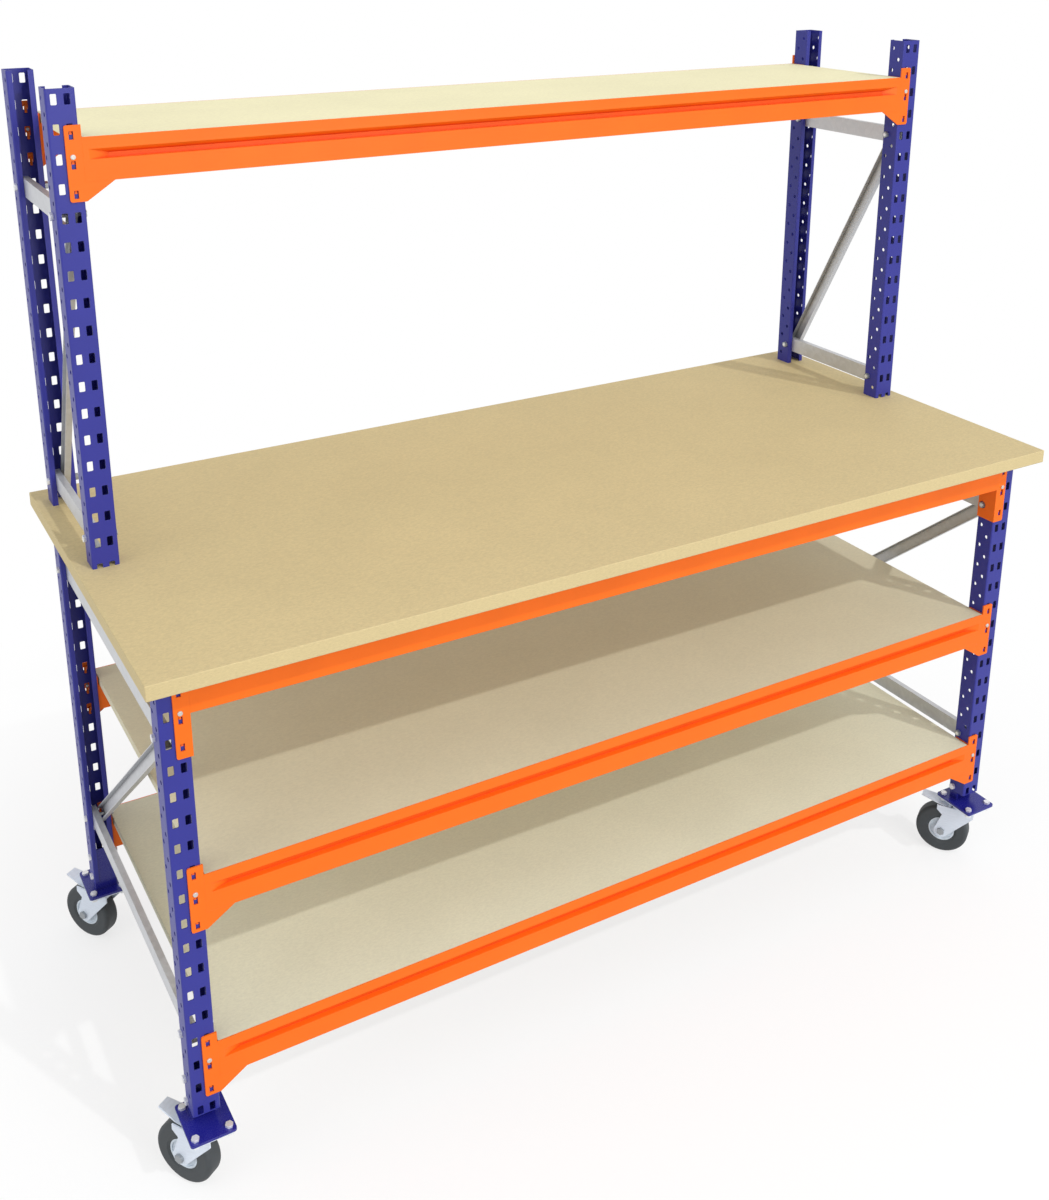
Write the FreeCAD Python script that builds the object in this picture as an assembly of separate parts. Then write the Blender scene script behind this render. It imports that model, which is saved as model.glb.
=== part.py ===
import FreeCAD, Part
import math
import os

from FreeCAD import Vector

# Mobile workbench built from slotted shelving uprights. Millimetres, +X along the bench, +Y to its back,
# +Z up. The origin is on the floor below the centre of the bench top.

# End frames and boards
FRAME_DEPTH = 776.0
UPPER_FRAME_DEPTH = 378.0
TOP_LENGTH = 2020.0
TOP_OVERHANG = 54.0
TOP_END_OVERHANG = 28.0
TOP_THICKNESS = 28.0
TOP_EDGE_CHAMFER = 1.0
DECK_THICKNESS = 18.0
DECK_END_GAP = 2.0

# Uprights, open towards the other upright of their frame
UPRIGHT_WIDTH = 50.0
UPRIGHT_DEPTH = 45.0
UPRIGHT_WALL = 2.0
UPRIGHT_BEND = 3.0
UPRIGHT_LIP = 11.0
LOWER_LENGTH = 880.0
UPPER_LENGTH = 868.0
HOLE_PITCH = 50.0
HOLE_COLUMN_SPACING = 22.0
HOLE_WIDTH = 10.5
HOLE_HEIGHT = 18.5
HOLE_CORNER = 2.0
HOLE_TOP_MARGIN = 15.0
CUT_MARGIN = 1.0
LOWER_FIRST_ROW = 11.0
UPPER_FIRST_ROW = 0.0
WEB_HOLE_FRONT = 15.0
WEB_HOLE_BACK = 33.0

# Hole rows that carry something, counted down from the top row or up from the first row
MIDDLE_DOWN_COUNT = 7
UPPER_DOWN_COUNT = 1
BOTTOM_UP_COUNT = 3
LOWER_STRUT_UP_COUNT = 3
LOWER_STRUT_DOWN_COUNT = 2
UPPER_STRUT_UP_COUNT = 1
UPPER_STRUT_DOWN_COUNT = 4
FOOT_BOLT_ROWS = (0, 1)

# Beams
BEAM_HEIGHT = 76.0
BEAM_DEPTH = 42.0
BEAM_WALL = 1.5
BEAM_LIP = 2.0
BEAM_DROP = 14.0
GROOVE_DROP = 21.0
GROOVE_HEIGHT = 17.5
GROOVE_SLOPE = 9.0
GROOVE_DEPTH = 12.0
GROOVE_END = 10.0
GROOVE_RUN_OUT = 35.0
BENCH_BEAM_HEIGHT = 70.0

# Beam connectors with their hooks and safety pins
CONNECTOR_HEIGHT = 130.0
BENCH_CONNECTOR_FOOT = 31.0
CONNECTOR_SHEET = 3.0
CONNECTOR_RISE = 7.0
CONNECTOR_CORNER = 4.0
HOOKS_PER_CONNECTOR = 3
GUSSET_LENGTH = 50.0
WINDOW_WIDTH = 7.5
WINDOW_HEIGHT = 14.0
WINDOW_DROP = 10.25
HOOK_WIDTH = 4.5
HOOK_NECK_HEIGHT = 9.0
HOOK_LIP_DROP = 6.0
HOOK_LIP_SHEET = 3.0
HOOK_CLEARANCE = 0.3
PIN_RADIUS = 3.0
PIN_LENGTH = 8.0
PIN_RISE = 3.5
PIN_HEAD_RADIUS = 4.5
PIN_HEAD_HEIGHT = 2.5
NUT_ACCESS = 1.0

# Frame struts, cold formed channels bolted between the webs of the uprights
STRUT_SHEET = 1.5
STRUT_DEPTH = 13.0
STRUT_HEIGHT = 36.0
DIAGONAL_HEIGHT = 30.0
STRUT_END = 14.0
STRUT_GAP = 1.0

# Bolts
BOLT_RADIUS = 4.0
BOLT_CLEARANCE = 0.25
BOLT_FLATS = 13.0
BOLT_HEAD_HEIGHT = 5.3
NUT_HEIGHT = 6.5
BOLT_END = 1.0

# Feet
FOOT_PLATE_WIDTH = 85.0
FOOT_PLATE_DEPTH = 105.0
FOOT_PLATE_SHEET = 5.0
FOOT_PLATE_CORNER = 6.0
FOOT_SETBACK = 14.0
FOOT_GAP = 22.0
UPSTAND_HEIGHT = 103.0
UPSTAND_DEPTH = 23.0
UPSTAND_SHEET = 3.0
PLATE_BOLT_SPACING_X = 62.0
PLATE_BOLT_SPACING_Y = 80.0

# Casters, described with the swivel axis at the origin and the wheel trailing along +Y
CASTER_HEIGHT = 150.0
CASTER_PLATE_WIDTH = 80.0
CASTER_PLATE_DEPTH = 100.0
CASTER_PLATE_SHEET = 4.0
CASTER_ANGLE = 33.0
TRAIL = 46.0
WHEEL_RADIUS = 62.5
TYRE_WIDTH = 38.0
TYRE_SHOULDER = 9.0
HUB_RADIUS = 31.0
HUB_RIM = 4.0
HUB_RIM_WIDTH = 32.0
HUB_DISC_WIDTH = 28.0
HUB_BOSS_RADIUS = 12.0
AXLE_RADIUS = 5.0
AXLE_FLATS = 16.0
AXLE_HEAD_HEIGHT = 6.0
RUNNING_FIT = 0.05
FORK_SHEET = 3.0
FORK_SIDE_GAP = 3.0
CROWN_SHEET = 3.5
CROWN_CLEARANCE = 4.5
CROWN_FRONT = 27.0
CROWN_BACK = 24.0
LEG_BACK = 60.0
LEG_END_RADIUS = 17.0
LEG_FRONT_DEPTH = 15.0
LEG_NOTCH = 12.0
LEG_WAIST = 47.0
RACE_RADIUS = 28.0
RACE_HEIGHT = 6.5
RACE_GAP = 0.4
RACE_COVER_RADIUS = 31.0
KINGPIN_RADIUS = 6.0
KINGPIN_HEAD_RADIUS = 10.0
KINGPIN_HEAD_HEIGHT = 8.0
PEDAL_PIVOT = 32.0
PEDAL_PIVOT_DROP = 3.0
PEDAL_PIN_RADIUS = 3.0
PEDAL_SLEEVE_RADIUS = 4.5
PEDAL_TILT = 10.0
PEDAL_LENGTH = 70.0
PEDAL_SHOULDER = 26.0
PEDAL_WIDTH = 38.0
PEDAL_TIP_WIDTH = 25.0
PEDAL_SHEET = 3.0
PAD_START = 26.0
PAD_LENGTH = 10.0
PAD_WIDTH = 24.0
PAD_DROP = 5.8

# Heights that follow from the sizes above
plate_top = CASTER_HEIGHT + FOOT_PLATE_SHEET
lower_foot = plate_top + FOOT_GAP
top_underside = lower_foot + LOWER_LENGTH
top_surface = top_underside + TOP_THICKNESS
bolt_hole_radius = BOLT_RADIUS + BOLT_CLEARANCE
lower_base = lower_foot + LOWER_FIRST_ROW
upper_base = top_surface + UPPER_FIRST_ROW


def top_row(length, first_row):
    return int((length - HOLE_TOP_MARGIN - first_row) / HOLE_PITCH)


def row_places(base, rows):
    return [base + HOLE_PITCH * row for row in rows]


lower_top_row = top_row(LOWER_LENGTH, LOWER_FIRST_ROW)
upper_top_row = top_row(UPPER_LENGTH, UPPER_FIRST_ROW)
lower_strut_rows = (LOWER_STRUT_UP_COUNT, lower_top_row - LOWER_STRUT_DOWN_COUNT)
upper_strut_rows = (UPPER_STRUT_UP_COUNT, upper_top_row - UPPER_STRUT_DOWN_COUNT)
lower_bolts = row_places(lower_base, FOOT_BOLT_ROWS + lower_strut_rows)
upper_bolts = row_places(upper_base, upper_strut_rows)

# Places that follow from the sizes above
half_spacing = TOP_LENGTH / 2 - TOP_END_OVERHANG - UPRIGHT_WIDTH / 2
half_width = UPRIGHT_WIDTH / 2
lower_front = -FRAME_DEPTH / 2
frame_back = FRAME_DEPTH / 2
upper_front = frame_back - UPPER_FRAME_DEPTH
top_depth = FRAME_DEPTH + 2 * TOP_OVERHANG
half_beam = half_spacing - half_width - CONNECTOR_SHEET
hook_column = half_spacing - HOLE_COLUMN_SPACING / 2
SIDES = {"left": -1, "right": 1}


def box(x0, x1, y0, y1, z0, z1):
    corner = Vector(min(x0, x1), min(y0, y1), min(z0, z1))
    return Part.makeBox(abs(x1 - x0), abs(y1 - y0), abs(z1 - z0), corner)


def prism(points, direction):
    return Part.Face(Part.makePolygon(points + [points[0]])).extrude(direction)


def rounded_plate(width, depth, sheet, corner):
    plate = box(-width / 2, width / 2, -depth / 2, depth / 2, 0, sheet)
    upright_edges = [e for e in plate.Edges if abs(e.tangentAt(e.FirstParameter).z) > 0.9]
    return plate.makeFillet(corner, upright_edges)


def hexagon(flats, height, centre, axis):
    reach = flats / math.sqrt(3)
    turn = FreeCAD.Rotation(Vector(0, 0, 1), axis)
    points = []
    for step in range(6):
        angle = math.radians(60 * step)
        points.append(centre + turn.multVec(Vector(reach * math.cos(angle), reach * math.sin(angle), 0)))
    return prism(points, axis * height)


def hex_bolt(radius, flats, head, centre, axis, length):
    shank = Part.makeCylinder(radius, length, centre, axis)
    return hexagon(flats, head, centre - axis * head, axis).fuse(shank).removeSplitter()


def hex_nut(radius, flats, height, centre, axis):
    blank = hexagon(flats, height, centre, axis)
    return blank.cut(Part.makeCylinder(radius + RUNNING_FIT, height, centre, axis))


def faced_back(shape):
    # A piece made for the front row, turned to stand in the back row
    return shape.mirror(Vector(0, 0, 0), Vector(0, 1, 0))


def to_side(shape, side):
    # A piece made for the right end, turned over for the left end
    if side > 0:
        return shape
    return shape.mirror(Vector(0, 0, 0), Vector(1, 0, 0))


def save(name, solids):
    shape = solids[0] if len(solids) == 1 else Part.makeCompound(solids)
    shape.exportStep("parts/" + name + ".step")
    print(name, len(shape.Solids), round(shape.Volume / 1000.0, 2), shape.isValid())


# Uprights
def row_heights(length, first_row):
    return [first_row + HOLE_PITCH * row for row in range(top_row(length, first_row) + 1)]


def slot_hole(x, z):
    half_hole = HOLE_WIDTH / 2
    rise = HOLE_HEIGHT / 2
    behind = UPRIGHT_WALL + CUT_MARGIN
    hole = box(x - half_hole, x + half_hole, -CUT_MARGIN, behind, z - rise, z + rise)
    through_edges = [e for e in hole.Edges if abs(e.tangentAt(e.FirstParameter).y) > 0.9]
    return hole.makeFillet(HOLE_CORNER, through_edges)


def upright(length, first_row):
    # Face on y = 0, foot on z = 0, open towards +Y
    outer = box(-half_width, half_width, 0, UPRIGHT_DEPTH, 0, length)
    bends = [e for e in outer.Edges if abs(e.tangentAt(e.FirstParameter).z) > 0.9]
    outer = outer.makeFillet(UPRIGHT_BEND, bends)
    inside = half_width - UPRIGHT_WALL
    inner = box(-inside, inside, UPRIGHT_WALL, UPRIGHT_DEPTH - UPRIGHT_WALL, -CUT_MARGIN, length + CUT_MARGIN)
    bends = [e for e in inner.Edges if abs(e.tangentAt(e.FirstParameter).z) > 0.9]
    inner = inner.makeFillet(UPRIGHT_BEND - UPRIGHT_WALL, bends)
    mouth = half_width - UPRIGHT_LIP
    beyond = UPRIGHT_DEPTH + CUT_MARGIN
    opening = box(-mouth, mouth, UPRIGHT_DEPTH / 2, beyond, -CUT_MARGIN, length + CUT_MARGIN)
    cuts = [inner, opening]
    for z in row_heights(length, first_row):
        for column in (-1, 1):
            cuts.append(slot_hole(column * HOLE_COLUMN_SPACING / 2, z))
        for y, rise in ((WEB_HOLE_BACK, 0.0), (WEB_HOLE_FRONT, HOLE_PITCH / 2)):
            centre = Vector(-half_width, y, z + rise)
            if bolt_hole_radius < centre.z < length - bolt_hole_radius:
                cuts.append(Part.makeCylinder(bolt_hole_radius, UPRIGHT_WIDTH, centre, Vector(1, 0, 0)))
    return outer.cut(Part.makeCompound(cuts))


lower_blank = upright(LOWER_LENGTH, LOWER_FIRST_ROW)
upper_blank = upright(UPPER_LENGTH, UPPER_FIRST_ROW)

# Beams, made for the front row with their face on y = 0 and their top on z = 0
groove_top = -GROOVE_DROP
groove_back = groove_top - GROOVE_SLOPE
groove_bottom = groove_top - GROOVE_HEIGHT


def beam_cavity():
    wall = BEAM_WALL
    seat = -DECK_THICKNESS - wall
    points = [(BEAM_LIP + 2 * wall, seat), (BEAM_DEPTH - wall, seat)]
    points += [(BEAM_DEPTH - wall, wall - BEAM_HEIGHT), (wall, wall - BEAM_HEIGHT)]
    points += [(wall, groove_bottom - wall), (GROOVE_DEPTH + wall, groove_bottom - wall)]
    points += [(GROOVE_DEPTH + wall, groove_back + wall / 2)]
    return points


def along_beam(points, half_length):
    start = [Vector(-half_length, y, z) for y, z in points]
    return prism(start, Vector(2 * half_length, 0, 0))


def shelf_beam():
    section = [(0, 0), (BEAM_LIP, 0), (BEAM_LIP, -DECK_THICKNESS), (BEAM_DEPTH, -DECK_THICKNESS)]
    section += [(BEAM_DEPTH, -BEAM_HEIGHT), (0, -BEAM_HEIGHT)]
    beam = along_beam(section, half_beam)
    groove_section = [(0, groove_top), (GROOVE_DEPTH, groove_back)]
    groove_section += [(GROOVE_DEPTH, groove_bottom), (0, groove_bottom)]
    groove = along_beam(groove_section, half_beam)
    reach = half_beam - GROOVE_END
    deep = reach - GROOVE_RUN_OUT
    run_out = [Vector(-reach, 0, groove_bottom), Vector(reach, 0, groove_bottom)]
    run_out += [Vector(deep, GROOVE_DEPTH, groove_bottom), Vector(-deep, GROOVE_DEPTH, groove_bottom)]
    groove = groove.common(prism(run_out, Vector(0, 0, GROOVE_HEIGHT)))
    return beam.cut(groove).cut(along_beam(beam_cavity(), half_beam))


def bench_beam():
    tube = box(-half_beam, half_beam, 0, BEAM_DEPTH, -BENCH_BEAM_HEIGHT, 0)
    wall = BEAM_WALL
    bore = box(-half_beam, half_beam, wall, BEAM_DEPTH - wall, wall - BENCH_BEAM_HEIGHT, -wall)
    return tube.cut(bore)


def at_frame_front(shape, front, height):
    # The connector sheet and the beam face stand proud of the upright's face by one sheet
    return shape.translated(Vector(0, front - CONNECTOR_SHEET, height))


# Connectors for the right end of a front beam: face leg, side leg, gusset wing and hooks
def connector(top, beam_bottom, rows, bolt_heights, gusset):
    inner = half_beam
    bottom = top - CONNECTOR_HEIGHT if gusset else rows[-1] - BENCH_CONNECTOR_FOOT
    outline = [Vector(inner, 0, top), Vector(half_spacing, 0, top), Vector(half_spacing, 0, bottom)]
    outline += [Vector(inner, 0, bottom)]
    if gusset:
        outline += [Vector(inner - GUSSET_LENGTH, 0, beam_bottom), Vector(inner, 0, beam_bottom)]
    plate = prism(outline, Vector(0, CONNECTOR_SHEET, 0))
    outer_corners = []
    for edge in plate.Edges:
        middle = edge.CenterOfMass
        if abs(edge.tangentAt(edge.FirstParameter).y) > 0.9 and abs(middle.x - half_spacing) < HOOK_CLEARANCE:
            outer_corners.append(edge)
    plate = plate.makeFillet(CONNECTOR_CORNER, outer_corners)
    if gusset:
        beam_top = beam_bottom + BEAM_HEIGHT
        side = box(inner, inner + CONNECTOR_SHEET, CONNECTOR_SHEET, BEAM_DEPTH, beam_bottom, beam_top)
    else:
        side_back = CONNECTOR_SHEET + UPRIGHT_DEPTH
        side = box(inner, inner + CONNECTOR_SHEET, CONNECTOR_SHEET, side_back, bottom, top)
    access_radius = BOLT_FLATS / math.sqrt(3) + NUT_ACCESS
    for z in bolt_heights:
        centre = Vector(inner, CONNECTOR_SHEET + WEB_HOLE_BACK, z)
        side = side.cut(Part.makeCylinder(access_radius, CONNECTOR_SHEET, centre, Vector(1, 0, 0)))
    shape = plate.fuse(side)
    x0 = hook_column - WINDOW_WIDTH / 2
    x1 = hook_column + WINDOW_WIDTH / 2
    for z in rows:
        middle = z - WINDOW_DROP
        window = box(x0, x1, 0, CONNECTOR_SHEET, middle - WINDOW_HEIGHT / 2, middle + WINDOW_HEIGHT / 2)
        shape = shape.cut(window)
    for z in rows:
        shape = shape.fuse(hook(z))
    pin_hole = Part.makeCylinder(PIN_RADIUS + RUNNING_FIT, CONNECTOR_SHEET, pin_place(rows), Vector(0, 1, 0))
    return shape.cut(pin_hole).removeSplitter()


def hook(z):
    seat = z - HOLE_HEIGHT / 2
    neck_back = CONNECTOR_SHEET + UPRIGHT_WALL + HOOK_CLEARANCE
    x0 = hook_column - HOOK_WIDTH / 2
    x1 = hook_column + HOOK_WIDTH / 2
    neck = box(x0, x1, CONNECTOR_SHEET, neck_back, seat, seat + HOOK_NECK_HEIGHT)
    lip = box(x0, x1, neck_back, neck_back + HOOK_LIP_SHEET, seat - HOOK_LIP_DROP, seat + HOOK_NECK_HEIGHT)
    return neck.fuse(lip)


def pin_place(rows):
    return Vector(hook_column, 0, rows[len(rows) // 2] + PIN_RISE)


def safety_pin(rows):
    place = pin_place(rows)
    head = Part.makeCylinder(PIN_HEAD_RADIUS, PIN_HEAD_HEIGHT, place, Vector(0, -1, 0))
    rim = [e for e in head.Edges if abs(e.CenterOfMass.y + PIN_HEAD_HEIGHT) < HOOK_CLEARANCE and e.Closed]
    head = head.makeFillet(PIN_HEAD_HEIGHT / 2, rim)
    return head.fuse(Part.makeCylinder(PIN_RADIUS, PIN_LENGTH, place, Vector(0, 1, 0)))


# One level of beams: front and back beam, four connectors and four safety pins
def hook_rows(base, top_row):
    return [base + HOLE_PITCH * (top_row - step) for step in range(HOOKS_PER_CONNECTOR)]


def level_pieces(blank, beam_top, beam_bottom, connector_top, rows, bolt_heights, gusset, front):
    beam_front = at_frame_front(blank, front, beam_top)
    end = at_frame_front(connector(connector_top, beam_bottom, rows, bolt_heights, gusset), front, 0)
    pin = at_frame_front(safety_pin(rows), front, 0)
    middle = Vector(0, (front + frame_back) / 2, 0)
    across = Vector(0, 1, 0)
    connectors = []
    pins = []
    for side in SIDES.values():
        connectors.append(to_side(end, side))
        connectors.append(to_side(end, side).mirror(middle, across))
        pins.append(to_side(pin, side))
        pins.append(to_side(pin, side).mirror(middle, across))
    return beam_front, beam_front.mirror(middle, across), connectors, pins


# Struts of one end frame, made around x = 0 and set in both ends the same way round
def channel(length, height, mouth):
    # Runs along +Y from its first bolt, sheet back on x = 0, flanges towards mouth times +X
    start = -STRUT_END
    end = length + STRUT_END
    back = box(0, mouth * STRUT_SHEET, start, end, -height / 2, height / 2)
    top = box(0, mouth * STRUT_DEPTH, start, end, height / 2 - STRUT_SHEET, height / 2)
    foot = box(0, mouth * STRUT_DEPTH, start, end, -height / 2, STRUT_SHEET - height / 2)
    shape = back.fuse([top, foot]).removeSplitter()
    for y in (0, length):
        hole = Part.makeCylinder(bolt_hole_radius, STRUT_DEPTH, Vector(0, y, 0), Vector(mouth, 0, 0))
        shape = shape.cut(hole)
    return shape


def strut_bolts_y(front):
    return front + WEB_HOLE_BACK, frame_back - WEB_HOLE_BACK


def end_frame_struts(front, bottom_z, top_z):
    y_front, y_back = strut_bolts_y(front)
    reach = y_back - y_front
    offset = STRUT_GAP / 2 + STRUT_DEPTH
    level = channel(reach, STRUT_HEIGHT, 1)
    struts = [level.translated(Vector(-offset, y_front, z)) for z in (bottom_z, top_z)]
    fall = top_z - bottom_z
    brace = channel(math.hypot(reach, fall), DIAGONAL_HEIGHT, -1)
    brace.rotate(Vector(0, 0, 0), Vector(1, 0, 0), -math.degrees(math.atan2(fall, reach)))
    struts.append(brace.translated(Vector(offset, y_front, top_z)))
    return struts


def web_bolt(y, z):
    # Through both webs of a right hand upright, head outside
    outside = Vector(half_spacing + half_width, y, z)
    inward = Vector(-1, 0, 0)
    length = UPRIGHT_WIDTH + NUT_HEIGHT + BOLT_END
    bolt = hex_bolt(BOLT_RADIUS, BOLT_FLATS, BOLT_HEAD_HEIGHT, outside, inward, length)
    nut_seat = Vector(half_spacing - half_width, y, z)
    return bolt, hex_nut(BOLT_RADIUS, BOLT_FLATS, NUT_HEIGHT, nut_seat, inward)


# Feet, made with the upright's face on y = 0 and its middle on x = 0
def foot():
    plate = rounded_plate(FOOT_PLATE_WIDTH, FOOT_PLATE_DEPTH, FOOT_PLATE_SHEET, FOOT_PLATE_CORNER)
    plate.translate(Vector(0, FOOT_SETBACK, CASTER_HEIGHT))
    inside = half_width - UPRIGHT_WALL
    back = UPRIGHT_DEPTH - UPRIGHT_WALL
    upstand = box(-inside, inside, back - UPSTAND_DEPTH, back, plate_top, plate_top + UPSTAND_HEIGHT)
    hollow = inside - UPSTAND_SHEET
    room = box(-hollow, hollow, 0, back - UPSTAND_SHEET, plate_top, plate_top + UPSTAND_HEIGHT)
    upstand = upstand.cut(room)
    corners = [e for e in upstand.Edges if abs(e.tangentAt(e.FirstParameter).z) > 0.9]
    bends = [e for e in corners if abs(e.CenterOfMass.y - back) < HOOK_CLEARANCE]
    shape = upstand.makeFillet(UPRIGHT_BEND - UPRIGHT_WALL, bends).fuse(plate)
    for row in FOOT_BOLT_ROWS:
        centre = Vector(-half_width, WEB_HOLE_BACK, lower_base + HOLE_PITCH * row)
        shape = shape.cut(Part.makeCylinder(bolt_hole_radius, UPRIGHT_WIDTH, centre, Vector(1, 0, 0)))
    for x, y in plate_bolt_places():
        start = Vector(x, y + FOOT_SETBACK, CASTER_HEIGHT)
        shape = shape.cut(Part.makeCylinder(bolt_hole_radius, FOOT_PLATE_SHEET, start))
    return shape.removeSplitter()


def plate_bolt_places():
    half_x = PLATE_BOLT_SPACING_X / 2
    half_y = PLATE_BOLT_SPACING_Y / 2
    return [(x, y) for x in (-half_x, half_x) for y in (-half_y, half_y)]


# Caster pieces
plate_underside = CASTER_HEIGHT - CASTER_PLATE_SHEET
crown_under = 2 * WHEEL_RADIUS + CROWN_CLEARANCE
crown_top = crown_under + CROWN_SHEET
race_top = crown_top + RACE_HEIGHT
leg_inside = TYRE_WIDTH / 2 + FORK_SIDE_GAP
leg_outside = leg_inside + FORK_SHEET
wheel_centre = Vector(0, TRAIL, WHEEL_RADIUS)
pedal_centre = Vector(0, PEDAL_PIVOT, crown_top - PEDAL_PIVOT_DROP)
ACROSS = Vector(1, 0, 0)


def crosswise(radius, half_length, centre):
    return Part.makeCylinder(radius, 2 * half_length, centre - ACROSS * half_length, ACROSS)


def caster_plate():
    shape = rounded_plate(CASTER_PLATE_WIDTH, CASTER_PLATE_DEPTH, CASTER_PLATE_SHEET, FOOT_PLATE_CORNER)
    shape.translate(Vector(0, 0, plate_underside))
    cover_foot = race_top + RACE_GAP
    cover = Part.makeCylinder(RACE_COVER_RADIUS, plate_underside - cover_foot, Vector(0, 0, cover_foot))
    shape = shape.fuse(cover)
    shape = shape.cut(Part.makeCylinder(KINGPIN_RADIUS + RUNNING_FIT, CASTER_HEIGHT))
    for x, y in plate_bolt_places():
        start = Vector(x, y, plate_underside)
        shape = shape.cut(Part.makeCylinder(bolt_hole_radius, CASTER_PLATE_SHEET, start))
    return shape


def kingpin():
    head_top = crown_under - RACE_GAP
    head_foot = Vector(0, 0, head_top - KINGPIN_HEAD_HEIGHT)
    head = Part.makeCylinder(KINGPIN_HEAD_RADIUS, KINGPIN_HEAD_HEIGHT, head_foot)
    head = head.makeChamfer(KINGPIN_HEAD_HEIGHT / 4, [e for e in head.Edges if e.Closed][:1])
    shank = Part.makeCylinder(KINGPIN_RADIUS, CASTER_HEIGHT - head_top, Vector(0, 0, head_top))
    return head.fuse(shank).removeSplitter()


def fork_leg(x0, x1):
    top_front = Vector(x0, -CROWN_FRONT, crown_top)
    front = Vector(x0, -CROWN_FRONT, crown_top - LEG_FRONT_DEPTH)
    low = LEG_END_RADIUS * math.sqrt(0.5)
    heel = Vector(x0, TRAIL - low, WHEEL_RADIUS - low)
    back = Vector(x0, TRAIL + LEG_END_RADIUS, WHEEL_RADIUS)
    waist = Vector(x0, LEG_WAIST, crown_top - 2 * LEG_NOTCH)
    ear = Vector(x0, LEG_BACK, crown_top - LEG_NOTCH)
    top_back = Vector(x0, LEG_BACK, crown_top)
    middle = Vector(x0, TRAIL, WHEEL_RADIUS)
    leg = prism([top_front, front, heel, middle, back, waist, ear, top_back], Vector(x1 - x0, 0, 0))
    return leg.fuse(Part.makeCylinder(LEG_END_RADIUS, x1 - x0, middle, ACROSS))


def fork():
    crown = box(-leg_outside, leg_outside, -CROWN_FRONT, CROWN_BACK, crown_under, crown_top)
    race = Part.makeCylinder(RACE_RADIUS, RACE_HEIGHT, Vector(0, 0, crown_top))
    legs = [fork_leg(-leg_outside, -leg_inside), fork_leg(leg_inside, leg_outside)]
    pedal_pin = crosswise(PEDAL_PIN_RADIUS, leg_outside, pedal_centre)
    shape = crown.fuse([race, pedal_pin] + legs).removeSplitter()
    shape = shape.cut(Part.makeCylinder(KINGPIN_RADIUS + RUNNING_FIT, CASTER_HEIGHT))
    return shape.cut(crosswise(AXLE_RADIUS + RUNNING_FIT, leg_outside, wheel_centre))


def turned(points):
    # Revolved about the wheel's axle, points as width and radius
    outline = [wheel_centre + Vector(w, 0, r) for w, r in points]
    face = Part.Face(Part.makePolygon(outline + [outline[0]]))
    return face.revolve(wheel_centre, ACROSS, 360)


def hub():
    boss = leg_inside - RUNNING_FIT
    half_rim = HUB_RIM_WIDTH / 2
    half_disc = HUB_DISC_WIDTH / 2
    bore = AXLE_RADIUS + RUNNING_FIT
    rim_inside = HUB_RADIUS - HUB_RIM
    right = [(boss, bore), (boss, HUB_BOSS_RADIUS), (half_disc, HUB_BOSS_RADIUS), (half_disc, rim_inside)]
    right += [(half_rim, rim_inside), (half_rim, HUB_RADIUS)]
    left = [(-w, r) for w, r in reversed(right)]
    return turned(right + left)


def tyre():
    half = TYRE_WIDTH / 2
    half_rim = HUB_RIM_WIDTH / 2
    flank = half - half_rim
    right = [(half_rim, HUB_RADIUS), (half, HUB_RADIUS + 2 * flank), (half, WHEEL_RADIUS)]
    left = [(-w, r) for w, r in reversed(right)]
    ring = turned(right + left)
    shoulders = []
    for edge in ring.Edges:
        if hasattr(edge.Curve, "Radius") and abs(edge.Curve.Radius - WHEEL_RADIUS) < RUNNING_FIT:
            shoulders.append(edge)
    return ring.makeFillet(TYRE_SHOULDER, shoulders)


def axle():
    start = wheel_centre - ACROSS * leg_outside
    length = 2 * leg_outside
    bolt = hex_bolt(AXLE_RADIUS, AXLE_FLATS, AXLE_HEAD_HEIGHT, start, ACROSS, length)
    nut = hexagon(AXLE_FLATS, AXLE_HEAD_HEIGHT, wheel_centre + ACROSS * leg_outside, ACROSS)
    return bolt.fuse(nut).removeSplitter()


def pedal():
    half = PEDAL_WIDTH / 2
    tip = PEDAL_TIP_WIDTH / 2
    lower = -PEDAL_SHEET / 2
    outline = [Vector(-half, 0, lower), Vector(half, 0, lower), Vector(half, PEDAL_SHOULDER, lower)]
    outline += [Vector(tip, PEDAL_LENGTH, lower), Vector(-tip, PEDAL_LENGTH, lower)]
    outline += [Vector(-half, PEDAL_SHOULDER, lower)]
    plate = prism(outline, Vector(0, 0, PEDAL_SHEET))
    sleeve = crosswise(PEDAL_SLEEVE_RADIUS, half, Vector(0, 0, 0))
    pad = box(-PAD_WIDTH / 2, PAD_WIDTH / 2, PAD_START, PAD_START + PAD_LENGTH, -PAD_DROP, lower)
    bore = crosswise(PEDAL_PIN_RADIUS + RUNNING_FIT, half, Vector(0, 0, 0))
    shape = plate.fuse([sleeve, pad]).cut(bore)
    shape.rotate(Vector(0, 0, 0), ACROSS, PEDAL_TILT)
    return shape.translated(pedal_centre)


CASTER_SIDES = [("front_left", -1, -1), ("front_right", 1, -1), ("back_left", -1, 1), ("back_right", 1, 1)]


def caster_place(side, row):
    return Vector(side * half_spacing, row * (FRAME_DEPTH / 2 - FOOT_SETBACK), 0)


def swivelled(shape, place):
    turned_shape = shape.copy()
    turned_shape.rotate(Vector(0, 0, 0), Vector(0, 0, 1), CASTER_ANGLE)
    return turned_shape.translated(place)


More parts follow.
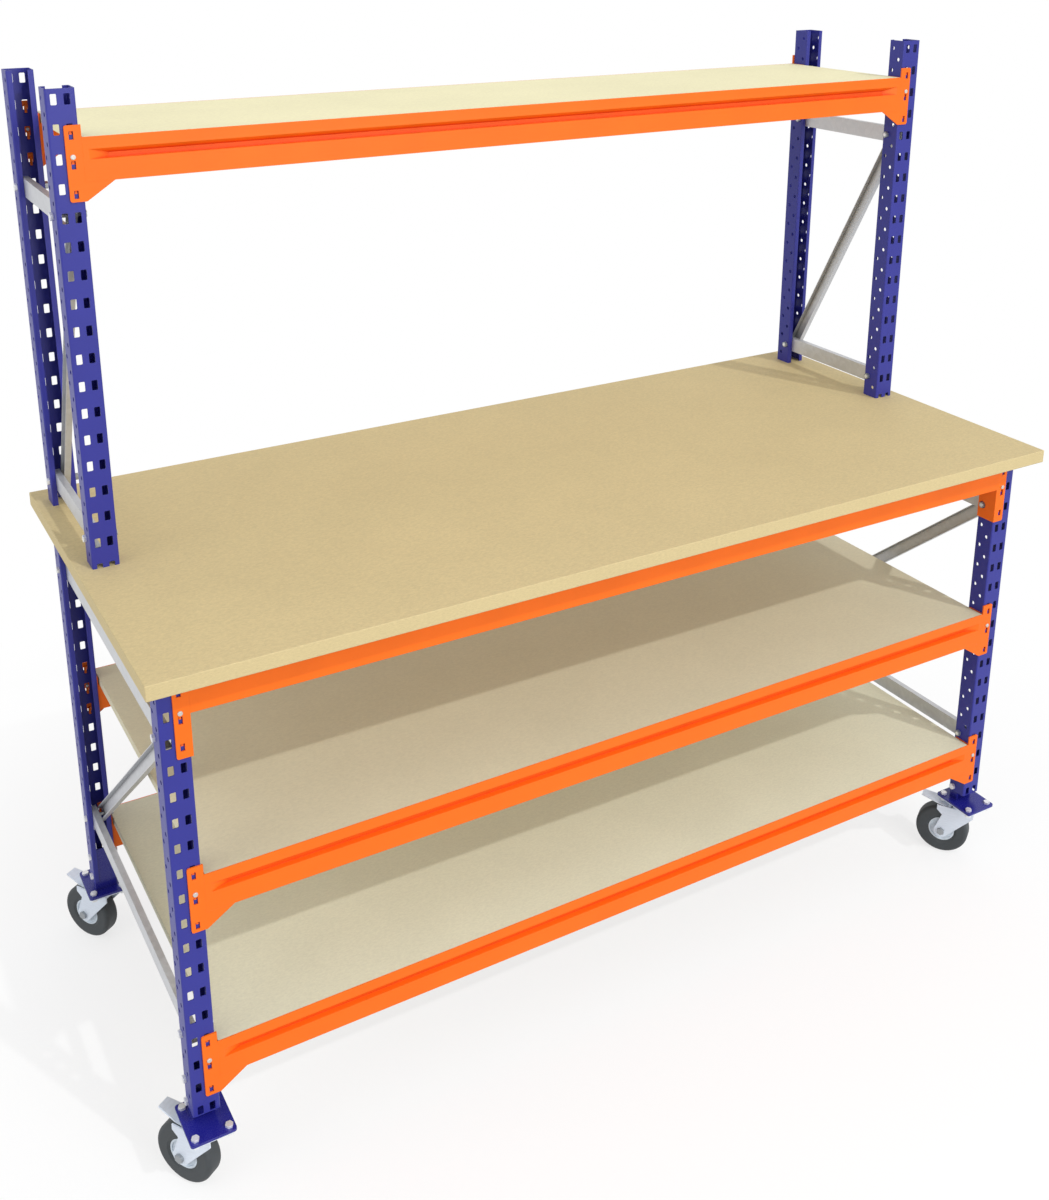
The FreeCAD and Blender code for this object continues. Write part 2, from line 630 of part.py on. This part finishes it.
def main():
    os.makedirs("parts", exist_ok=True)

    # Boards
    top = box(-TOP_LENGTH / 2, TOP_LENGTH / 2, -top_depth / 2, top_depth / 2, top_underside, top_surface)
    save("bench_top", [top.makeChamfer(TOP_EDGE_CHAMFER, top.Edges)])

    # Uprights
    for name, side in SIDES.items():
        x = side * half_spacing
        lower = ("lower", lower_blank, lower_front, lower_foot)
        upper = ("upper", upper_blank, upper_front, top_surface)
        for level, blank, front_y, foot_z in (lower, upper):
            front = blank.translated(Vector(x, front_y, foot_z))
            back = faced_back(blank).translated(Vector(x, frame_back, foot_z))
            save(level + "_front_" + name + "_upright", [front])
            save(level + "_back_" + name + "_upright", [back])

    # Beams with their decks
    shelf = shelf_beam()
    all_pins = []
    levels = [
        ("upper", upper_base, upper_top_row - UPPER_DOWN_COUNT, upper_bolts, upper_front),
        ("middle", lower_base, lower_top_row - MIDDLE_DOWN_COUNT, lower_bolts, lower_front),
        ("bottom", lower_base, BOTTOM_UP_COUNT, lower_bolts, lower_front),
    ]
    half_deck = half_beam - DECK_END_GAP
    for name, base, row, bolts, front in levels:
        rows = hook_rows(base, row)
        beam_top = rows[0] - BEAM_DROP
        beam_bottom = beam_top - BEAM_HEIGHT
        end_top = rows[0] + CONNECTOR_RISE
        pieces = level_pieces(shelf, beam_top, beam_bottom, end_top, rows, bolts, True, front)
        save(name + "_front_beam", [pieces[0]])
        save(name + "_back_beam", [pieces[1]])
        save(name + "_beam_connectors", pieces[2])
        all_pins += pieces[3]
        inset = BEAM_LIP - CONNECTOR_SHEET
        deck_under = beam_top - DECK_THICKNESS
        deck = box(-half_deck, half_deck, front + inset, frame_back - inset, deck_under, beam_top)
        save(name + "_deck", [deck])
    rows = hook_rows(lower_base, lower_top_row)
    beam_bottom = top_underside - BENCH_BEAM_HEIGHT
    end_top = top_underside
    blank = bench_beam()
    pieces = level_pieces(blank, end_top, beam_bottom, end_top, rows, lower_bolts, False, lower_front)
    save("bench_front_beam", [pieces[0]])
    save("bench_back_beam", [pieces[1]])
    save("bench_beam_connectors", pieces[2])
    save("safety_pins", all_pins + pieces[3])

    # End frame struts and their bolts
    strut_bolts = []
    strut_nuts = []
    frames = [
        ("lower", lower_base, lower_strut_rows, lower_front),
        ("upper", upper_base, upper_strut_rows, upper_front),
    ]
    for name, base, strut_rows, front in frames:
        heights = row_places(base, strut_rows)
        struts = end_frame_struts(front, heights[0], heights[1])
        for side_name, side in SIDES.items():
            place = Vector(side * half_spacing, 0, 0)
            save(name + "_" + side_name + "_struts", [strut.translated(place) for strut in struts])
            for y in strut_bolts_y(front):
                for z in heights:
                    bolt, nut = web_bolt(y, z)
                    strut_bolts.append(to_side(bolt, side))
                    strut_nuts.append(to_side(nut, side))
    save("strut_bolts", strut_bolts)
    save("strut_nuts", strut_nuts)

    # Feet and casters
    front_foot = foot()
    feet = []
    foot_bolts = []
    foot_nuts = []
    plate_bolts = []
    plate_nuts = []
    caster_plates = []
    kingpins = []
    down = Vector(0, 0, -1)
    clamp = FOOT_PLATE_SHEET + CASTER_PLATE_SHEET
    for name, side, row in CASTER_SIDES:
        blank = front_foot if row < 0 else faced_back(front_foot)
        feet.append(blank.translated(Vector(side * half_spacing, row * FRAME_DEPTH / 2, 0)))
        bolt_y = row * (FRAME_DEPTH / 2 - WEB_HOLE_BACK)
        for bolt_row in FOOT_BOLT_ROWS:
            bolt, nut = web_bolt(bolt_y, lower_base + HOLE_PITCH * bolt_row)
            foot_bolts.append(to_side(bolt, side))
            foot_nuts.append(to_side(nut, side))
        place = caster_place(side, row)
        for x, y in plate_bolt_places():
            seat = place + Vector(x, y, plate_top)
            length = clamp + NUT_HEIGHT + BOLT_END
            plate_bolts.append(hex_bolt(BOLT_RADIUS, BOLT_FLATS, BOLT_HEAD_HEIGHT, seat, down, length))
            plate_nuts.append(hex_nut(BOLT_RADIUS, BOLT_FLATS, NUT_HEIGHT, seat + down * clamp, down))
        caster_plates.append(caster_plate().translated(place))
        kingpins.append(kingpin().translated(place))
        save("caster_fork_" + name, [swivelled(fork(), place)])
        save("wheel_hub_" + name, [swivelled(hub(), place)])
        save("tyre_" + name, [swivelled(tyre(), place)])
        save("wheel_axle_" + name, [swivelled(axle(), place)])
        save("brake_pedal_" + name, [swivelled(pedal(), place)])
    save("foot_brackets", feet)
    save("foot_bracket_bolts", foot_bolts)
    save("foot_bracket_nuts", foot_nuts)
    save("caster_plate_bolts", plate_bolts)
    save("caster_plate_nuts", plate_nuts)
    save("caster_top_plates", caster_plates)
    save("caster_kingpins", kingpins)


main()
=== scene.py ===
# %% [markdown]
# This lesson dresses a workbench on wheels. We could model the bench again in Blender, but then the
# picture and the working part would drift apart. So nothing is moved or reshaped here. The lesson
# adds materials, a stage, light and a camera.

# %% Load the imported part
import math

import bpy
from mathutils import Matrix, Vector

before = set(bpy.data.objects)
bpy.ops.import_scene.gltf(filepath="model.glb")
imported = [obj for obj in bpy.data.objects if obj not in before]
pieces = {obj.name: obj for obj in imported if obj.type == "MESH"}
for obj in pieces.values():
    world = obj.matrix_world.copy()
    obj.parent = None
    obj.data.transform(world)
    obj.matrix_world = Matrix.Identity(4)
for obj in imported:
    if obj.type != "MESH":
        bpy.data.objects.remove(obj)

scene = bpy.context.scene
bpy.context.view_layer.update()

# %% [markdown]
# A material in Blender is a small network of nodes. Every finish on this bench starts from the same
# helper: a Principled shader, and the Object coordinates of the piece in metres. Generated
# coordinates would stretch with each piece, so a long beam and a short plate would show grain of
# different sizes. Object coordinates keep one scale, and they stay with a wheel when it turns.

# %% Start of a material
def new_material(name):
    mat = bpy.data.materials.new(name)
    mat.use_nodes = True
    tree = mat.node_tree
    shader = tree.nodes["Principled BSDF"]
    coords = tree.nodes.new("ShaderNodeTexCoord").outputs["Object"]
    return mat, tree, shader, coords


def noise(tree, coords, scale, detail=3.0, roughness=0.55):
    node = tree.nodes.new("ShaderNodeTexNoise")
    node.inputs["Scale"].default_value = scale
    node.inputs["Detail"].default_value = detail
    node.inputs["Roughness"].default_value = roughness
    tree.links.new(coords, node.inputs["Vector"])
    return node.outputs["Fac"]


print("a material starts with a shader and Object coordinates")

# %% [markdown]
# Noise gives grey values around one half, most of them between the two limits below. Four helpers
# put them to use: ramp turns them into colours, around makes a dark and a light stop from one
# colour, spread turns them into a narrow range of roughness, and bumped lets them lift the surface.

# %% From grey values to colour, roughness and relief
NOISE_LOW = 0.3
NOISE_HIGH = 0.7


def ramp(tree, value, stops):
    node = tree.nodes.new("ShaderNodeValToRGB")
    for element, (place, colour) in zip(node.color_ramp.elements, stops):
        element.position = place
        element.color = (*colour, 1.0)
    tree.links.new(value, node.inputs["Fac"])
    return node.outputs["Color"]


def around(colour, low, high):
    dark = tuple(min(1.0, c * low) for c in colour)
    light = tuple(min(1.0, c * high) for c in colour)
    return [(NOISE_LOW, dark), (NOISE_HIGH, light)]


def spread(tree, value, low, high):
    node = tree.nodes.new("ShaderNodeMapRange")
    node.inputs["From Min"].default_value = NOISE_LOW
    node.inputs["From Max"].default_value = NOISE_HIGH
    node.inputs["To Min"].default_value = low
    node.inputs["To Max"].default_value = high
    tree.links.new(value, node.inputs["Value"])
    return node.outputs["Result"]


def bumped(tree, shader, height, strength, distance, normal):
    node = tree.nodes.new("ShaderNodeBump")
    node.inputs["Strength"].default_value = strength
    node.inputs["Distance"].default_value = distance
    tree.links.new(height, node.inputs["Height"])
    tree.links.new(normal, node.inputs["Normal"])
    tree.links.new(node.outputs["Normal"], shader.inputs["Normal"])


print("noise can now drive colour, roughness and relief")

# %% [markdown]
# A fold in sheet steel is never a razor edge: it catches a thin line of light. Bevelling hundreds of
# slots and holes would make the meshes heavy. The Bevel node bends the shading normal near an edge
# instead, by a millimetre at most, and leaves the mesh alone.

# %% Soft edges in the shading
EDGE_SAMPLES = 4
PLATED_EDGE = 0.0006
PAINTED_EDGE = 0.0008
BOARD_EDGE = 0.001


def soft_edges(tree, radius):
    node = tree.nodes.new("ShaderNodeBevel")
    node.samples = EDGE_SAMPLES
    node.inputs["Radius"].default_value = radius
    return node.outputs["Normal"]


print("edges are softened by", PLATED_EDGE, "to", BOARD_EDGE, "m")

# %% [markdown]
# Uprights and beams are powder coated. Inside the pressed groove and in the folds the colour is made
# darker: painted shade, where the recess keeps light out. Painting a mask by hand would not follow a
# new length; the Ambient Occlusion node finds such hollow places itself, by asking how open each
# point of the piece is. Faces that point up are left out of the painted shade, because light from
# above reaches them.

# %% Painted shade in hollow places of one piece, and one colour laid over another
HOLLOW_REACH = 0.022
HOLLOW_SAMPLES = 8
HOLLOW_FULL_SHADE = 0.40
HOLLOW_OPEN = 0.68


def painted_shade_in_hollows(tree, painted_shade_colour, colour):
    # Painted shade: closed-in places that do not face up take the shade colour.
    node = tree.nodes.new("ShaderNodeAmbientOcclusion")
    node.samples = HOLLOW_SAMPLES
    node.only_local = True
    node.inputs["Distance"].default_value = HOLLOW_REACH
    geometry = tree.nodes.new("ShaderNodeNewGeometry")
    facing = tree.nodes.new("ShaderNodeSeparateXYZ")
    tree.links.new(geometry.outputs["Normal"], facing.inputs["Vector"])
    open_or_up = tree.nodes.new("ShaderNodeMath")
    open_or_up.operation = "MAXIMUM"
    tree.links.new(node.outputs["AO"], open_or_up.inputs[0])
    tree.links.new(facing.outputs["Z"], open_or_up.inputs[1])
    stops = [(HOLLOW_FULL_SHADE, painted_shade_colour), (HOLLOW_OPEN, colour)]
    return ramp(tree, open_or_up.outputs["Value"], stops)


def multiplied(tree, first, second):
    mix = tree.nodes.new("ShaderNodeMix")
    mix.data_type = "RGBA"
    mix.blend_type = "MULTIPLY"
    mix.inputs["Factor"].default_value = 1.0
    colour_inputs = {socket.name: socket for socket in mix.inputs if socket.type == "RGBA"}
    tree.links.new(first, colour_inputs["A"])
    tree.links.new(second, colour_inputs["B"])
    return next(socket for socket in mix.outputs if socket.type == "RGBA")


print("hollows are looked for within", HOLLOW_REACH, "m")

# %% [markdown]
# The coat itself has an even colour and half gloss, with a faint orange-peel texture from the baked
# powder. A flat colour would look like plastic. A broad noise shifts the colour by a few percent,
# and a fine one with grains of about a millimetre varies gloss and relief together.

# %% Powder coat, blue for the uprights and orange for the beams
CLOUD_SCALE = 9.0
CLOUD_TONES = around((0.97, 0.97, 0.97), 0.95, 1.05)
PEEL_SCALE = 900.0
PEEL_DETAIL = 2.0
PEEL_STRENGTH = 0.12
PEEL_SMOOTHER = 0.05
PEEL_ROUGHER = 0.06
FINE_RELIEF = 0.0002


def powder_coat(name, colour, painted_shade_colour, roughness, gloss):
    mat, tree, shader, coords = new_material(name)
    cloudy = ramp(tree, noise(tree, coords, CLOUD_SCALE), CLOUD_TONES)
    # Painted shade in the hollow places, multiplied with the cloudy tone of the coat.
    coat = multiplied(tree, painted_shade_in_hollows(tree, painted_shade_colour, colour), cloudy)
    tree.links.new(coat, shader.inputs["Base Color"])
    peel = noise(tree, coords, PEEL_SCALE, PEEL_DETAIL)
    matt = spread(tree, peel, roughness - PEEL_SMOOTHER, roughness + PEEL_ROUGHER)
    tree.links.new(matt, shader.inputs["Roughness"])
    bumped(tree, shader, peel, PEEL_STRENGTH, FINE_RELIEF, soft_edges(tree, PAINTED_EDGE))
    shader.inputs["Specular IOR Level"].default_value = gloss
    return mat


BLUE = (0.029, 0.032, 0.29)
# The deep tones are painted shade for the groove, the folds and the inside of the uprights.
BLUE_PAINTED_SHADE = (0.016, 0.018, 0.17)
# The feet get a darker blue than the uprights: painted shade, where they stand low and set in under
# the uprights.
SHADED_FOOT_BLUE = (0.016, 0.017, 0.25)
ORANGE = (1.0, 0.174, 0.008)
ORANGE_PAINTED_SHADE = (0.74, 0.040, 0.003)
blue_paint = powder_coat("blue powder coat", BLUE, BLUE_PAINTED_SHADE, roughness=0.40, gloss=0.40)
shaded_foot_paint = powder_coat("gloss blue foot paint", SHADED_FOOT_BLUE, BLUE_PAINTED_SHADE, roughness=0.26, gloss=0.45)
orange_paint = powder_coat("orange powder coat", ORANGE, ORANGE_PAINTED_SHADE, roughness=0.46, gloss=0.28)
print("paints:", blue_paint.name, shaded_foot_paint.name, orange_paint.name)

# %% [markdown]
# The struts of the end frames are galvanised: zinc sets in crystals about a centimetre across, and
# each has its own grey. A Voronoi texture makes such cells in one node, where noise would only give
# clouds. The greys lie close together, because the sheet in the picture looks nearly plain. Inside
# the open channels the zinc is darkened the same way: painted shade in hollow places.

# %% Galvanised struts
SPANGLE_SCALE = 90.0
SPANGLE_GREYS = [(0.2, (0.57, 0.58, 0.60)), (0.8, (0.62, 0.63, 0.65))]
# Painted shade: the zinc tone deep inside the channels, and the plain tone where the strut is open.
ZINC_PAINTED_SHADE = (0.40, 0.40, 0.41)
ZINC_UNSHADED = (1.0, 1.0, 1.0)
STRUT_METAL = 0.6
STRUT_SMOOTHEST = 0.41
STRUT_ROUGHEST = 0.46
STRUT_GRAIN = 300.0
STRUT_STRENGTH = 0.05


def crystals(tree, coords, scale):
    node = tree.nodes.new("ShaderNodeTexVoronoi")
    node.inputs["Scale"].default_value = scale
    tree.links.new(coords, node.inputs["Vector"])
    return node.outputs["Color"]


def galvanised(name):
    mat, tree, shader, coords = new_material(name)
    spangle = crystals(tree, coords, SPANGLE_SCALE)
    # Painted shade: the zinc is darkened inside the open channels, where shade falls.
    dull = painted_shade_in_hollows(tree, ZINC_PAINTED_SHADE, ZINC_UNSHADED)
    zinc = multiplied(tree, ramp(tree, spangle, SPANGLE_GREYS), dull)
    tree.links.new(zinc, shader.inputs["Base Color"])
    matt = spread(tree, spangle, STRUT_SMOOTHEST, STRUT_ROUGHEST)
    tree.links.new(matt, shader.inputs["Roughness"])
    shader.inputs["Metallic"].default_value = STRUT_METAL
    grain = noise(tree, coords, STRUT_GRAIN)
    bumped(tree, shader, grain, STRUT_STRENGTH, FINE_RELIEF, soft_edges(tree, PLATED_EDGE))
    return mat


strut_zinc = galvanised("galvanised strut")
print("struts:", strut_zinc.name)

# %% [markdown]
# Casters and bolts carry a thin, bluish zinc plating over pressed steel. It has no crystals, only
# fine streaks from the tool. Noise squeezed along one direction with a Mapping node gives streaks.
# The metallic share differs: the casters look almost milky, the pins are dull, and the axle bolts
# and the nuts inside the uprights are plain grey steel.

# %% Zinc plating on casters and bolts
STREAK_STRETCH = (1.0, 1.0, 14.0)
STREAK_SCALE = 60.0
STREAK_DETAIL = 4.0
STREAK_STRENGTH = 0.08
STREAK_DARK = 0.94
STREAK_LIGHT = 1.04
STREAK_SMOOTHER = 0.06
STREAK_ROUGHER = 0.08


def stretched(tree, coords, stretch):
    mapping = tree.nodes.new("ShaderNodeMapping")
    mapping.inputs["Scale"].default_value = stretch
    tree.links.new(coords, mapping.inputs["Vector"])
    return mapping.outputs["Vector"]


def bright_zinc(name, colour, roughness, metal):
    mat, tree, shader, coords = new_material(name)
    long_way = stretched(tree, coords, STREAK_STRETCH)
    streaks = noise(tree, long_way, STREAK_SCALE, STREAK_DETAIL)
    tones = around(colour, STREAK_DARK, STREAK_LIGHT)
    tree.links.new(ramp(tree, streaks, tones), shader.inputs["Base Color"])
    matt = spread(tree, streaks, roughness - STREAK_SMOOTHER, roughness + STREAK_ROUGHER)
    tree.links.new(matt, shader.inputs["Roughness"])
    shader.inputs["Metallic"].default_value = metal
    bumped(tree, shader, streaks, STREAK_STRENGTH, FINE_RELIEF, soft_edges(tree, PLATED_EDGE))
    return mat


MILKY_ZINC = (0.79, 0.86, 0.96)
BRIGHT_ZINC = (0.86, 0.87, 0.88)
WARM_ZINC = (0.60, 0.57, 0.54)
GREY_STEEL = (0.34, 0.36, 0.38)
caster_zinc = bright_zinc("bright zinc caster", MILKY_ZINC, roughness=0.40, metal=0.15)
bolt_zinc = bright_zinc("zinc bolt", BRIGHT_ZINC, roughness=0.34, metal=0.45)
pin_zinc = bright_zinc("dull zinc pin", WARM_ZINC, roughness=0.42, metal=0.45)
axle_steel = bright_zinc("grey axle bolt", GREY_STEEL, roughness=0.38, metal=0.6)
print("metals:", caster_zinc.name, bolt_zinc.name, pin_zinc.name, axle_steel.name)

# %% [markdown]
# Bench top and shelves are chipboard, pressed from small flakes of wood. A photographed texture
# would repeat and needs an image file. Here a rough noise with six octaves, stretched along the
# bench, gives flakes a few millimetres long, and a broad noise multiplies a cloudy tone over them.
# The bench top has a tan of its own, and the upper shelf is the palest. The bottom shelf is darker
# and greyer, and the middle shelf darker still: the extra darkness is painted shade, for these
# shelves lie under the bench top. So each level gets a material of its own.

# %% Chipboard for the bench top and the shelves
FLAKE_STRETCH = (0.55, 1.0, 2.2)
FLAKE_SCALE = 260.0
FLAKE_DETAIL = 6.0
FLAKE_ROUGHNESS = 0.7
FLAKE_STRENGTH = 0.15
FLAKE_SPREAD = 1.4
BOARD_CLOUD_SCALE = 5.0
BOARD_CLOUD = [(NOISE_LOW, (0.95, 0.95, 0.95)), (NOISE_HIGH, (1.0, 1.0, 1.0))]
BOARD_SMOOTHEST = 0.62
BOARD_ROUGHEST = 0.78
COARSE_RELIEF = 0.0003


def chipboard(name, colour, contrast):
    mat, tree, shader, coords = new_material(name)
    long_way = stretched(tree, coords, FLAKE_STRETCH)
    flakes = noise(tree, long_way, FLAKE_SCALE, FLAKE_DETAIL, FLAKE_ROUGHNESS)
    tones = around(colour, 1.0 - FLAKE_SPREAD * contrast, 1.0 + FLAKE_SPREAD * contrast)
    flake_colour = ramp(tree, flakes, tones)
    cloud = ramp(tree, noise(tree, coords, BOARD_CLOUD_SCALE), BOARD_CLOUD)
    tree.links.new(multiplied(tree, flake_colour, cloud), shader.inputs["Base Color"])
    matt = spread(tree, flakes, BOARD_SMOOTHEST, BOARD_ROUGHEST)
    tree.links.new(matt, shader.inputs["Roughness"])
    bumped(tree, shader, flakes, FLAKE_STRENGTH, COARSE_RELIEF, soft_edges(tree, BOARD_EDGE))
    return mat


BENCH_TAN = (0.655, 0.53, 0.275)
# The two lower shelves are darker than the upper one: painted shade under the bench top.
SHADED_MIDDLE_TAN = (0.715, 0.660, 0.475)
SHADED_BOTTOM_CREAM = (0.775, 0.745, 0.565)
UPPER_CREAM = (0.95, 0.87, 0.55)
bench_board = chipboard("bench chipboard", BENCH_TAN, contrast=0.08)
shaded_middle_board = chipboard("middle shelf chipboard", SHADED_MIDDLE_TAN, contrast=0.05)
shaded_bottom_board = chipboard("bottom shelf chipboard", SHADED_BOTTOM_CREAM, contrast=0.05)
upper_board = chipboard("upper shelf chipboard", UPPER_CREAM, contrast=0.06)
print("boards:", bench_board.name, shaded_middle_board.name, shaded_bottom_board.name, upper_board.name)

# %% [markdown]
# The wheels have a matt rubber tyre on a pale hub. Both come out of a mould, so they need little:
# a dusty variation of the tone and a fine grain. One helper serves both, with a grain for each.

# %% Rubber and hub
DUST_SCALE = 55.0
DUST_DETAIL = 5.0
DUST_DARK = 0.85
DUST_LIGHT = 1.15
DUST_GLOSS = 0.06
GRAIN_STRENGTH = 0.1


def moulded(name, colour, roughness, grain):
    mat, tree, shader, coords = new_material(name)
    dust = noise(tree, coords, DUST_SCALE, DUST_DETAIL)
    tones = around(colour, DUST_DARK, DUST_LIGHT)
    tree.links.new(ramp(tree, dust, tones), shader.inputs["Base Color"])
    matt = spread(tree, dust, roughness - DUST_GLOSS, roughness + DUST_GLOSS)
    tree.links.new(matt, shader.inputs["Roughness"])
    height = noise(tree, coords, grain)
    bumped(tree, shader, height, GRAIN_STRENGTH, COARSE_RELIEF, soft_edges(tree, PAINTED_EDGE))
    return mat


RUBBER_GREY = (0.045, 0.052, 0.057)
HUB_BLUE = (0.72, 0.80, 0.88)
tyre_rubber = moulded("grey tyre rubber", RUBBER_GREY, roughness=0.6, grain=700.0)
hub_plastic = moulded("pale hub", HUB_BLUE, roughness=0.45, grain=400.0)
print("wheels:", tyre_rubber.name, hub_plastic.name)

# %% [markdown]
# Each CAD piece has a plain name, so a list of words is enough to hand out the materials. The first
# word that occurs in a piece's name decides, so the more exact words stand higher in the list.

# %% Give every piece its material
LOOKS = [
    ("bench_top", bench_board),
    ("upper_deck", upper_board),
    ("middle_deck", shaded_middle_board),
    ("bottom_deck", shaded_bottom_board),
    ("_upright", blue_paint),
    ("foot_brackets", shaded_foot_paint),
    ("_beam", orange_paint),
    ("_struts", strut_zinc),
    ("wheel_axle_", axle_steel),
    ("wheel_hub_", hub_plastic),
    ("tyre_", tyre_rubber),
    ("caster_fork_", caster_zinc),
    ("caster_top_plates", caster_zinc),
    ("caster_kingpins", caster_zinc),
    ("brake_pedal_", caster_zinc),
    ("_bolts", bolt_zinc),
    ("strut_nuts", axle_steel),
    ("_nuts", bolt_zinc),
    ("safety_pins", pin_zinc),
]
for name, piece in pieces.items():
    finish = next(look for word, look in LOOKS if word in name)
    piece.data.materials.clear()
    piece.data.materials.append(finish)
print("materials given to", len(pieces), "pieces")

# %% [markdown]
# The bench stands on a pale floor in front of a white backdrop. A white floor would throw light up
# under the beams, and lamps strong enough to make it white would bleach the paint. The Light Path
# node tells which kind of ray arrives: the camera, reflections and clear materials meet white, all
# other rays meet a dimmer room.

# %% What a ray meets
def seen_directly(tree):
    path = tree.nodes.new("ShaderNodeLightPath")
    seen = path.outputs["Is Camera Ray"]
    for kind in ("Is Glossy Ray", "Is Transmission Ray"):
        either = tree.nodes.new("ShaderNodeMath")
        either.operation = "MAXIMUM"
        tree.links.new(seen, either.inputs[0])
        tree.links.new(path.outputs[kind], either.inputs[1])
        seen = either.outputs["Value"]
    return seen


def mixed_shader(tree, factor, first, second):
    node = tree.nodes.new("ShaderNodeMixShader")
    tree.links.new(factor, node.inputs["Fac"])
    tree.links.new(first, node.inputs[1])
    tree.links.new(second, node.inputs[2])
    return node.outputs["Shader"]


def plain_shader(tree, kind, colour):
    node = tree.nodes.new(kind)
    node.inputs["Color"].default_value = (*colour, 1.0)
    return node


WHITE = (1.0, 1.0, 1.0)
print("rays can be told apart")

# %% [markdown]
# The floor keeps a soft shadow near the wheels and fades to the white of the backdrop farther out.
# The fade follows the distance from the middle of the bench, so there is no line at the horizon.

# %% Floor
FLOOR_SIZE = 80.0
FLOOR_TONES = [(NOISE_LOW, (0.95, 0.95, 0.95)), (NOISE_HIGH, (0.97, 0.97, 0.97))]
FLOOR_CLOUD_SCALE = 0.6
FLOOR_ROUGHNESS = 0.9
FADE_START = 0.9
FADE_END = 2.1
WHITE_NEAR = 0.7
DIM_FLOOR = (0.5, 0.5, 0.5)

bpy.ops.mesh.primitive_plane_add(size=FLOOR_SIZE, location=(0.0, 0.0, 0.0))
floor = bpy.context.object
floor.name = "studio_floor"
floor_mat, tree, shader, coords = new_material("pale studio floor")
floor_tone = ramp(tree, noise(tree, coords, FLOOR_CLOUD_SCALE), FLOOR_TONES)
tree.links.new(floor_tone, shader.inputs["Base Color"])
shader.inputs["Roughness"].default_value = FLOOR_ROUGHNESS
reach = tree.nodes.new("ShaderNodeVectorMath")
reach.operation = "LENGTH"
tree.links.new(coords, reach.inputs[0])
fade = tree.nodes.new("ShaderNodeMapRange")
fade.interpolation_type = "SMOOTHSTEP"
fade.inputs["From Min"].default_value = FADE_START
fade.inputs["From Max"].default_value = FADE_END
fade.inputs["To Min"].default_value = WHITE_NEAR
tree.links.new(reach.outputs["Value"], fade.inputs["Value"])
white = plain_shader(tree, "ShaderNodeEmission", WHITE).outputs["Emission"]
shown = mixed_shader(tree, fade.outputs["Result"], shader.outputs["BSDF"], white)
dim = plain_shader(tree, "ShaderNodeBsdfDiffuse", DIM_FLOOR).outputs["BSDF"]
whole = mixed_shader(tree, seen_directly(tree), dim, shown)
tree.links.new(whole, tree.nodes["Material Output"].inputs["Surface"])
floor.data.materials.append(floor_mat)
print("floor fades to white between", FADE_START, "and", FADE_END, "m")

# %% [markdown]
# The room around the bench is one even, slightly bluish light. A picture of a studio would give
# richer reflections, but it needs an image file. Where the camera looks past the floor, it meets
# plain white.

# %% World
ROOM_LIGHT = 0.70
ROOM_COLOUR = (0.97, 0.98, 1.0)

world = bpy.data.worlds.new("studio world")
scene.world = world
world.use_nodes = True
tree = world.node_tree
tree.nodes.clear()
room = plain_shader(tree, "ShaderNodeBackground", ROOM_COLOUR)
room.inputs["Strength"].default_value = ROOM_LIGHT
backdrop = plain_shader(tree, "ShaderNodeBackground", WHITE).outputs["Background"]
surface = mixed_shader(tree, seen_directly(tree), room.outputs["Background"], backdrop)
output = tree.nodes.new("ShaderNodeOutputWorld")
tree.links.new(surface, output.inputs["Surface"])
print("room light", ROOM_LIGHT, "of the backdrop's white")

# %% [markdown]
# One lamp makes the shadows: a sun in front on the right and above. Its direction comes from the
# shadow edge that the bench top throws on the middle shelf, and its small angle keeps that edge
# fairly crisp. A wide soft lamp in front lifts the faces of the beams and reaches in over the
# shelves. A weaker one on the left does the same for the end frame and the edge of the bench top.

# %% Lights
def add_lamp(name, kind, place, target, power):
    lamp_data = bpy.data.lights.new(name, kind)
    lamp_data.energy = power
    lamp = bpy.data.objects.new(name, lamp_data)
    scene.collection.objects.link(lamp)
    lamp.location = place
    aim = Vector(target) - Vector(place)
    lamp.rotation_euler = aim.to_track_quat("-Z", "Y").to_euler()
    return lamp_data


MIDDLE = (0.0, 0.0, 0.9)
SUN_PLACE = (1.68, -3.82, 5.21)
SUN_DEGREES = 1.3
FRONT_PLACE = (1.0, -5.2, 2.6)
LEFT_PLACE = (-4.4, -0.6, 2.0)
LAMP_SIZE = 3.0
sun = add_lamp("sun", "SUN", SUN_PLACE, MIDDLE, power=0.9)
sun.angle = math.radians(SUN_DEGREES)
front = add_lamp("front lamp", "AREA", FRONT_PLACE, MIDDLE, power=112.0)
front.size = LAMP_SIZE
side = add_lamp("left lamp", "AREA", LEFT_PLACE, MIDDLE, power=38.0)
side.size = LAMP_SIZE
print("lamps:", sun.name, front.name, side.name)

# %% [markdown]
# The camera was fitted to corners and hole rows of the picture. It looks down a little from the
# front left. A lens shift keeps the upright lines nearly as steep as they are in the picture;
# turning the camera down farther would make them converge. A still larger shift would push the
# tops of the uprights out of the views from other sides.

# %% Camera
PICTURE_HEIGHT = 1200.0
SENSOR_WIDTH = 36.0
FOCAL_PIXELS = 1386.0
CENTRE_ROW = 355.0
EYE = Vector((-1.4415, -2.3761, 2.2159))
YAW = 0.5208
PITCH = 0.3034
NEAREST = 0.05
FARTHEST = 200.0

lens = bpy.data.cameras.new("picture camera")
camera = bpy.data.objects.new("picture camera", lens)
scene.collection.objects.link(camera)
scene.camera = camera
lens.sensor_width = SENSOR_WIDTH
lens.lens = FOCAL_PIXELS * SENSOR_WIDTH / PICTURE_HEIGHT
lens.shift_y = (CENTRE_ROW - PICTURE_HEIGHT / 2) / PICTURE_HEIGHT
lens.clip_start = NEAREST
lens.clip_end = FARTHEST
level = math.cos(PITCH)
ahead = Vector((math.sin(YAW) * level, math.cos(YAW) * level, -math.sin(PITCH)))
camera.location = EYE
camera.rotation_euler = ahead.to_track_quat("-Z", "Y").to_euler()
scene.view_settings.view_transform = "Standard"
print("lens", round(lens.lens, 2), "mm, shift", round(lens.shift_y, 4))
